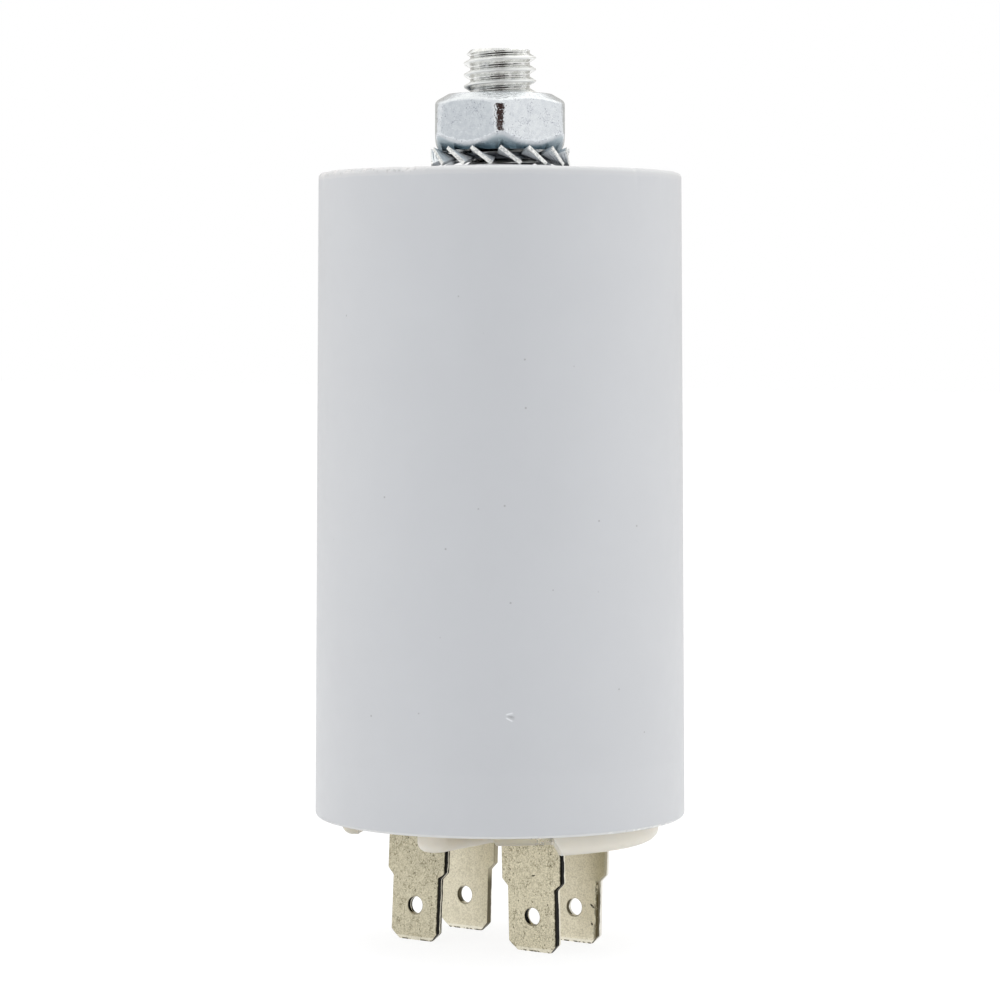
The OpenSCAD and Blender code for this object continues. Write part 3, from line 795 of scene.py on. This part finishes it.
def stud_steel():
    """Plain silvery zinc plate of the stud, with painted shade along the thread's roots and a painted
    highlight on its duller crests.
    """
    material, shader, place, colour = zinc_plate(*STUD_PLATE)
    # Painted shade along the thread's roots.
    root_shaded = blend(root_shade_lines(place), colour, STUD_ROOT_SHADE)
    # Painted highlight: the crests are paler, and rougher.
    crest = ramp(from_axis(place), STUD_RADIUS - 0.3 * MM, STUD_RADIUS - 0.1 * MM)
    satin = patches(place, 0.5 * MM, 0.3, 0.7, 0.12, 0.22)
    set_inputs(shader, {
        "Base Color": blend(crest, root_shaded, STUD_CREST_HIGHLIGHT),
        "Roughness": calculate("MULTIPLY_ADD", crest, 0.22, satin),
    })
    return material


def washer_steel():
    """Bluish zinc plate of the lock washer, with painted shade inside, and rough pale tooth tips."""
    material, shader, place, colour = zinc_plate(*WASHER_PLATE)
    radius = from_axis(place)
    # Painted shade: the teeth darken toward the ring, under the nut.
    shaded = blend(ramp(radius, *TOOTH_SHADE_RADII, 0.0, 0.93), colour, WASHER_INSIDE_SHADE)
    tip = ramp(radius, TOOTH_TIP_RADIUS - 0.1 * MM, TOOTH_TIP_RADIUS - 0.02 * MM)
    cut = blend(patches(place, 0.22 * MM, 0.46, 0.60), *WASHER_CUT_TONES)
    set_inputs(shader, {
        "Base Color": blend(tip, shaded, cut),
        "Roughness": by_share(tip, 0.24, 0.5),
        "Metallic": by_share(tip, 0.5, 0.35),
    })
    return material


def arc(middle, radius, start, end, steps):
    """Points (radius, level) along an arc of a section, between two angles in degrees."""
    angles = [math.radians(start + (end - start) * step / steps) for step in range(steps + 1)]
    return [(middle[0] + radius * math.cos(a), middle[1] + radius * math.sin(a)) for a in angles]


def turned(radius, angle, level):
    """A point at a radius, an angle and a level."""
    return (radius * math.cos(angle), radius * math.sin(angle), level)


def even_steps(start, end, count):
    """Values strictly between two ends, evenly spaced."""
    return [start + (end - start) * step / count for step in range(1, count)]


def head_radius(angle):
    """Distance from the axis to the side of the stud's hexagon head, which has a corner at the angle 0."""
    sector = TURN / HEXAGON
    return HEAD_ACROSS_FLATS / 2 / math.cos(angle % sector - sector / 2)


def new_piece(name, mesh, material, node):
    """A piece on the part's one body that stands for a CAD node."""
    piece = bpy.data.objects.new(name, mesh)
    bpy.context.scene.collection.objects.link(piece)
    piece.data.materials.append(material)
    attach(piece, "root")
    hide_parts(node)
    return piece


def to_mesh(work, name):
    """A finished mesh with its faces turned outward, smooth apart from its sharp edges."""
    bmesh.ops.recalc_face_normals(work, faces=work.faces)
    for face in work.faces:
        face.smooth = True
    for edge in work.edges:
        edge.smooth = edge.calc_face_angle(math.pi) < SHARP_ANGLE
    mesh = bpy.data.meshes.new(name)
    work.to_mesh(mesh)
    work.free()
    return mesh


def close_end(work, ring, level):
    """Closes a ring of vertices with triangles round a middle point on the axis."""
    middle = work.verts.new((0, 0, level))
    for first, second in zip(ring, ring[1:] + ring[:1]):
        work.faces.new((first, second, middle))


def skin_rings(work, rings):
    """Quads between successive rings of as many vertices."""
    for lower, upper in zip(rings, rings[1:]):
        for column in range(len(lower)):
            work.faces.new((lower[column - 1], lower[column], upper[column], upper[column - 1]))


def rim_wear(angle, radius, level):
    """Depth by which the case's top edge is rubbed and chipped at a point."""
    from_edge = math.hypot(radius - END_RADIUS + END_EDGE / 2, level + END_EDGE / 2)
    nearness = max(0.0, 1 - from_edge / RIM_WEAR_REACH)
    if nearness == 0:
        return 0.0
    point = Vector(turned(radius, angle, level))
    depth = RIM_FINE_WEAR * max(0.0, noise.noise(point / RIM_FINE_SIZE))
    depth += RIM_BROAD_WEAR * max(0.0, noise.noise(point / RIM_BROAD_SIZE))
    for chip_angle, width, chip_depth in RIM_CHIPS:
        away = math.remainder(angle - VIEW_ANGLE - chip_angle, TURN) * radius
        depth += chip_depth * math.exp(-((away / width) ** 2))
    return depth * nearness


def nick_relief(angle, level):
    """Height of the nick's two raised edges, or depth of the scar between them, on the case's side."""
    across = math.remainder(angle - VIEW_ANGLE - NICK_ANGLE, TURN) * MOUTH_RADIUS / NICK_SIZE
    up = (level - NICK_LEVEL) / NICK_SIZE
    if max(abs(across), abs(up)) > NICK_REACH:
        return 0.0
    fade = math.exp(-((across**2 + up**2) ** 2))
    from_edge = abs(abs(up) - NICK_SPREAD * (across - NICK_START))
    ridge = math.exp(-((from_edge / NICK_RIDGE_WIDTH) ** 2)) if across > NICK_START else 0.0
    length, height = NICK_HOLLOW_SIZES
    hollow = math.exp(-(((across - NICK_HOLLOW_PLACE) / length) ** 2 + (up / height) ** 2))
    return NICK_DEPTH * fade * (NICK_RIDGE_SHARE * ridge - hollow)


def case_point(radius, angle, level):
    """A point of the case with its wear."""
    depth = rim_wear(angle, radius, level)
    radius -= depth
    level -= depth if radius > SEAT_RADIUS else 0
    if LID_INNER_LEVEL < level < -END_EDGE and radius > END_RADIUS - END_EDGE:
        radius += nick_relief(angle, level)
    return turned(radius, angle, level)


def case_rows():
    """The case's section from the stud's pocket to the mouth. A radius can be a function of the angle."""
    lip_radius = MOUTH_RADIUS - MOUTH_WALL
    nick_reach = NICK_REACH * NICK_SIZE
    levels = even_steps(-END_EDGE, MOUTH_LEVEL + MOUTH_EDGE, CASE_SIDE_ROWS)
    levels += even_steps(NICK_LEVEL + nick_reach, NICK_LEVEL - nick_reach, NICK_ROWS)
    side_drop = MOUTH_LEVEL + MOUTH_EDGE + END_EDGE
    side = [
        (END_RADIUS + (MOUTH_RADIUS - END_RADIUS) * (level + END_EDGE) / side_drop, level)
        for level in sorted(set(levels), reverse=True)
    ]
    rows = [(head_radius, STUD_LOW.z), (head_radius, HEAD_TOP)]
    rows += [(STUD_RADIUS, HEAD_TOP), (STUD_RADIUS, SEAT_LEVEL), (SEAT_RADIUS - SEAT_BEVEL, SEAT_LEVEL)]
    rows += [(SEAT_RADIUS, SEAT_LEVEL - SEAT_BEVEL), (SEAT_RADIUS, 0)]
    rows += [(radius, 0) for radius in even_steps(SEAT_RADIUS, END_RADIUS - END_EDGE, END_FACE_ROWS)]
    rows += arc((END_RADIUS - END_EDGE, -END_EDGE), END_EDGE, 90, 0, EDGE_ROWS)
    rows += side
    rows += arc((MOUTH_RADIUS - MOUTH_EDGE, MOUTH_LEVEL + MOUTH_EDGE), MOUTH_EDGE, 0, -90, EDGE_ROWS)
    rows += [(lip_radius + MOUTH_BEVEL, MOUTH_LEVEL), (lip_radius, MOUTH_LEVEL + MOUTH_BEVEL)]
    rows += [(lip_radius, LID_INNER_LEVEL)]
    return rows


def case_columns():
    """Angles round the case, closer together at the nick."""
    nick = VIEW_ANGLE + NICK_ANGLE
    reach = NICK_REACH * NICK_SIZE / MOUTH_RADIUS
    even = [TURN * column / CASE_COLUMNS for column in range(CASE_COLUMNS)]
    fine = [angle % TURN for angle in even_steps(nick - reach, nick + reach, NICK_COLUMNS)]
    return sorted(set(even + fine))


def build_case(material):
    """The case as one closed turned shell with its pocket, seat, side, lip and mouth."""
    work = bmesh.new()
    angles = case_columns()
    rings = []
    for radius, level in case_rows():
        ring = []
        for angle in angles:
            reach = radius(angle) if callable(radius) else radius
            ring.append(work.verts.new(case_point(reach, angle, level)))
        rings.append(ring)
    skin_rings(work, rings)
    close_end(work, rings[0], STUD_LOW.z)
    close_end(work, rings[-1], LID_INNER_LEVEL)
    new_piece("case_shell", to_mesh(work, "case_shell"), material, "case")


def sharp_thread(phase):
    """Share of the thread's depth at a phase of its pitch, from 0 at the crest to 1 at the root."""
    from_crest = abs(math.remainder(phase, 1))
    flank_start = THREAD_CREST_SHARE / 2
    flank_end = 0.5 - THREAD_ROOT_SHARE / 2
    return min(1.0, max(0.0, (from_crest - flank_start) / (flank_end - flank_start)))


def thread_radius(phase):
    """Radius of the thread at a phase of its pitch, with its crest and root slightly rounded."""
    spread = (-2, -1, 0, 1, 2)
    depth = sum(sharp_thread(phase + THREAD_ROUNDING * step / 2) for step in spread) / len(spread)
    return STUD_RADIUS - (STUD_RADIUS - THREAD_ROOT_RADIUS) * depth


def stud_point(angle, level):
    """A point of the thread, held between the head's top and the bevelled tip."""
    crest = THREAD_CREST_LEVEL + THREAD_PITCH * (angle - VIEW_ANGLE + TURN / 4) / TURN
    held = min(max(level, HEAD_TOP), STUD_HIGH.z)
    tip_radius = STUD_RADIUS - STUD_BEVEL + (STUD_HIGH.z - held)
    thread = min(thread_radius((held - crest) / THREAD_PITCH), tip_radius)
    radius = THREAD_ROOT_RADIUS if held == HEAD_TOP else thread
    return turned(radius, angle, held)


def skin_thread(work, angles):
    """The thread's surface. Its rows climb with it, so a row's end meets the start of a later row."""
    turns = math.ceil((STUD_HIGH.z - HEAD_TOP) / THREAD_PITCH) + THREAD_SPARE_TURNS
    start = HEAD_TOP - THREAD_START_TURNS * THREAD_PITCH
    rows = []
    for row in range(turns * THREAD_ROWS):
        base = start + THREAD_PITCH * row / THREAD_ROWS
        rows.append([work.verts.new(stud_point(a, base + THREAD_PITCH * a / TURN)) for a in angles])
    for row in range(len(rows) - 1):
        for column in range(STUD_COLUMNS):
            after = (column + 1) % STUD_COLUMNS
            climb = THREAD_ROWS if after == 0 else 0
            if row + climb + 1 < len(rows):
                near, far = rows[row + climb], rows[row + climb + 1]
                work.faces.new((rows[row][column], near[after], far[after], rows[row + 1][column]))
    bmesh.ops.remove_doubles(work, verts=work.verts, dist=MERGE_REACH)
    loose = [vertex for vertex in work.verts if not vertex.link_faces]
    bmesh.ops.delete(work, geom=loose, context="VERTS")


def open_ring(work, level):
    """The vertices of an open edge at a level, in order of their angle."""
    open_edges = [edge for edge in work.edges if edge.is_boundary]
    ring = {v for edge in open_edges for v in edge.verts if abs(v.co.z - level) < MERGE_REACH}
    return sorted(ring, key=lambda vertex: math.atan2(vertex.co.y, vertex.co.x) % TURN)


def build_stud(material):
    """The stud with its hexagon head and a right-hand thread, as one closed mesh."""
    work = bmesh.new()
    angles = [TURN * column / STUD_COLUMNS for column in range(STUD_COLUMNS)]
    skin_thread(work, angles)
    close_end(work, open_ring(work, STUD_HIGH.z), STUD_HIGH.z)
    rings = [open_ring(work, HEAD_TOP)]
    for level in (HEAD_TOP, STUD_LOW.z):
        rings.append([work.verts.new(turned(head_radius(angle), angle, level)) for angle in angles])
    skin_rings(work, rings)
    close_end(work, rings[-1], STUD_LOW.z)
    new_piece("threaded_stud", to_mesh(work, "threaded_stud"), material, "stud")


def rounded_hexagon_radius(across_flats, rounding, angle):
    """Distance from the axis to the side of a hexagon that has a rounded corner at the angle 0."""
    half_sector = TURN / HEXAGON / 2
    from_corner = abs(math.remainder(angle, 2 * half_sector))
    middle = (across_flats / 2 - rounding) / math.cos(half_sector)
    tangent = math.atan2(rounding * math.sin(half_sector), middle + rounding * math.cos(half_sector))
    if from_corner > tangent:
        return across_flats / 2 / math.cos(half_sector - from_corner)
    return middle * math.cos(from_corner) + math.sqrt(rounding**2 - (middle * math.sin(from_corner)) ** 2)


def soft_least(first, second, reach):
    """The lesser of two values, rounded off where they differ by less than a reach."""
    nearness = max(0.0, 1 - abs(first - second) / reach)
    return min(first, second) - reach * nearness**2 / 4


def nut_radius(angle, level):
    """Distance from the axis to the nut's outside: a hexagon between two bevels, with soft edges."""
    share = (level - NUT_LOW.z) / (NUT_HIGH.z - NUT_LOW.z)
    at_seat, at_top = NUT_CORNER_ROUNDING
    side = rounded_hexagon_radius(NUT_ACROSS_FLATS, at_seat + (at_top - at_seat) * share, angle - NUT_TURN)
    top = NUT_TOP_RADIUS + (NUT_HIGH.z - level) / math.tan(NUT_TOP_SLOPE)
    seat = NUT_SEAT_RADIUS + (level - NUT_LOW.z) / math.tan(NUT_SEAT_SLOPE)
    return soft_least(soft_least(side, top, NUT_EDGE_ROUNDING), seat, NUT_EDGE_ROUNDING)


def build_nut(material):
    """The nut as one closed ring: bore, top, outside and seat."""
    countersink = (NUT_MOUTH_RADIUS - NUT_BORE_RADIUS) * math.tan(NUT_MOUTH_SLOPE)
    drop = NUT_LOW.z - NUT_HIGH.z
    rows = [(NUT_BORE_RADIUS, NUT_LOW.z + countersink), (NUT_BORE_RADIUS, NUT_HIGH.z - countersink)]
    rows += [(NUT_MOUTH_RADIUS, NUT_HIGH.z), (NUT_TOP_RADIUS - NUT_EDGE_MARGIN, NUT_HIGH.z)]
    rows += [(None, NUT_HIGH.z + drop * row / NUT_SIDE_ROWS) for row in range(NUT_SIDE_ROWS + 1)]
    rows += [(NUT_MOUTH_RADIUS, NUT_LOW.z)]
    work = bmesh.new()
    rings = []
    for radius, level in rows:
        ring = []
        for column in range(NUT_COLUMNS):
            angle = TURN * column / NUT_COLUMNS
            reach = nut_radius(angle, level) if radius is None else radius
            ring.append(work.verts.new(turned(reach, angle, level)))
        rings.append(ring)
    skin_rings(work, rings + rings[:1])
    new_piece("hexagon_nut", to_mesh(work, "hexagon_nut"), material, "nut")


def build_soft(node, material, edge_width):
    """A piece with the form of a CAD node and with its edges slightly rounded."""
    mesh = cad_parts[node].data.copy()
    mesh.materials.clear()
    piece = new_piece(f"soft_{node}", mesh, material, node)
    weld = piece.modifiers.new("weld", "WELD")
    weld.merge_threshold = WELD_REACH
    bevel = piece.modifiers.new("soft_edges", "BEVEL")
    bevel.width = edge_width
    bevel.segments = BEVEL_SEGMENTS
    bevel.limit_method = "ANGLE"
    bevel.angle_limit = BEVEL_ANGLE
    bevel.harden_normals = True


def seen_directly(tree):
    """1 for rays that show the background: from the camera, from a mirror or through something clear."""
    path = new_node(tree, "ShaderNodeLightPath")
    return any_of(*(path.outputs[name] for name in SEEN_RAYS))


def mixed_shader(share, first, second):
    """A shader node between two shader nodes."""
    return add("ShaderNodeMixShader", {0: share, 1: first.outputs[0], 2: second.outputs[0]})


def opaque_grey(level):
    """A grey with its alpha."""
    return (level, level, level, 1)


def build_world():
    """White where it is seen, and a soft light that is a little dimmer and bluer from the front."""
    world = bpy.data.worlds.new("studio")
    bpy.context.scene.world = world
    world.use_nodes = True
    tree = world.node_tree
    tree.nodes.clear()
    direction = new_node(tree, "ShaderNodeTexCoord").outputs["Generated"]
    facing = ramp(along(direction, TOWARD_CAMERA), 0.0, 1.0)
    soft = add("ShaderNodeBackground", {"Color": blend(facing, SIDE_LIGHT, FRONT_LIGHT)})
    white = new_node(tree, "ShaderNodeBackground", {"Color": opaque_grey(1)})
    mixed = mixed_shader(seen_directly(tree), soft, white)
    add("ShaderNodeOutputWorld", {"Surface": mixed.outputs[0]})


def bare_material(name):
    """A material whose tree is empty, and the tree."""
    material = bpy.data.materials.new(name)
    material.use_nodes = True
    material.node_tree.nodes.clear()
    return material, material.node_tree


def flat_piece(name, corners, material):
    """A flat stage piece of four corners."""
    mesh = bpy.data.meshes.new(name)
    mesh.from_pydata(corners, [], [(0, 1, 2, 3)])
    mesh.materials.append(material)
    piece = bpy.data.objects.new(name, mesh)
    bpy.context.scene.collection.objects.link(piece)
    return piece


def build_floor():
    """A white floor that keeps the object's shadow and isn't seen from below."""
    material, tree = bare_material("floor")
    glow = new_node(tree, "ShaderNodeEmission", {"Color": opaque_grey(FLOOR_GLOW)})
    shade = new_node(tree, "ShaderNodeBsdfDiffuse", {"Color": opaque_grey(FLOOR_SHADE)})
    shown = add("ShaderNodeAddShader", {0: glow.outputs[0], 1: shade.outputs[0]})
    plain = new_node(tree, "ShaderNodeBsdfDiffuse", {"Color": opaque_grey(FLOOR_PLAIN)})
    mixed = mixed_shader(seen_directly(tree), plain, shown)
    below = new_node(tree, "ShaderNodeNewGeometry").outputs["Backfacing"]
    surface = mixed_shader(below, mixed, new_node(tree, "ShaderNodeBsdfTransparent"))
    add("ShaderNodeOutputMaterial", {"Surface": surface.outputs[0]})
    half = FLOOR_SIZE / 2
    corners = [(-half, -half), (half, -half), (half, half), (-half, half)]
    flat_piece("floor", [(x, y, FLOOR_LEVEL) for x, y in corners], material)


def build_card(name, turn, rise, half_sizes, tones):
    """A card between two tones that only mirrors see, at an angle from the view and a height angle."""
    material, tree = bare_material(name)
    place = new_node(tree, "ShaderNodeTexCoord").outputs["Object"]
    tone = blend(patches(place, CARD_CLOUD_SIZE, 0.35, 0.65), *tones)
    glow = add("ShaderNodeEmission", {"Color": tone})
    add("ShaderNodeOutputMaterial", {"Surface": glow.outputs[0]})
    level_way = TOWARD_CAMERA * math.cos(turn) + ACROSS_VIEW * math.sin(turn)
    outward = level_way * math.cos(rise) + Vector((0, 0, math.sin(rise)))
    upward = Vector((0, 0, math.cos(rise))) - level_way * math.sin(rise)
    sideways = outward.cross(upward)
    half_width, half_height = half_sizes
    corners = []
    for side, end in ((-1, -1), (1, -1), (1, 1), (-1, 1)):
        corners.append(outward * CARD_DISTANCE + sideways * half_width * side + upward * half_height * end)
    card = flat_piece(name, corners, material)
    card.visible_camera = False
    card.visible_diffuse = False
    card.visible_transmission = False
    card.visible_shadow = False


def build_cards():
    """A dark card at the camera, grey ones on the left and behind, and two bright ones high at the back."""
    for name, turn, rise, half_sizes, tones in CARDS:
        build_card(name, math.radians(turn), math.radians(rise), half_sizes, tones)


def build_lamp(name, place, aim, sizes, energy):
    """A soft rectangular lamp that points at a place."""
    lamp = bpy.data.lights.new(name, "AREA")
    lamp.shape = "RECTANGLE"
    lamp.size, lamp.size_y = sizes
    lamp.energy = energy
    lamp.color = LAMP_COLOUR
    holder = bpy.data.objects.new(name, lamp)
    holder.location = place
    holder.rotation_euler = (aim - place).to_track_quat("-Z", "Y").to_euler()
    holder.visible_glossy = False
    bpy.context.scene.collection.objects.link(holder)


def build_lamps():
    """Two tall soft lamps beside the object and a broad one above it."""
    aim = Vector((0, 0, (cad_box[0][2] + cad_box[1][2]) / 2))
    for name, side, energy in SIDE_LAMPS:
        place = ACROSS_VIEW * side * SIDE_LAMP_REACH + TOWARD_CAMERA * SIDE_LAMP_FORWARD + aim
        build_lamp(name, place, aim, SIDE_LAMP_SIZES, energy)
    top_place = Vector((0, 0, TOP_LAMP_LEVEL)) - TOWARD_CAMERA * TOP_LAMP_BACK
    build_lamp("top_lamp", top_place, aim, TOP_LAMP_SIZES, TOP_LAMP_POWER)


def build_camera():
    """The camera at the photograph's place."""
    lens = bpy.data.cameras.new("camera")
    lens.lens = CAMERA_LENS
    lens.sensor_width = CAMERA_SENSOR
    lens.clip_start = CAMERA_NEAR
    camera = bpy.data.objects.new("camera", lens)
    camera.location = TOWARD_CAMERA * CAMERA_DISTANCE + Vector((0, 0, CAMERA_LEVEL))
    camera.rotation_euler = (math.pi / 2 - CAMERA_PITCH, 0, VIEW_AZIMUTH)
    bpy.context.scene.collection.objects.link(camera)
    bpy.context.scene.camera = camera


def build_part():
    """Every piece of the part with its finish."""
    brass = tinned_brass()
    build_case(case_plastic())
    build_stud(stud_steel())
    build_nut(nut_steel())
    build_soft("lock_washer", washer_steel(), WASHER_EDGE)
    build_soft("lid", lid_plastic(), LID_EDGE)
    for node in ("terminal_left", "terminal_right"):
        build_soft(node, brass, TERMINAL_EDGE)
    build_soft("rivets", brass, RIVET_EDGE)


bpy.context.scene.view_settings.view_transform = "Standard"
build_camera()
build_world()
build_floor()
build_cards()
build_lamps()
build_part()
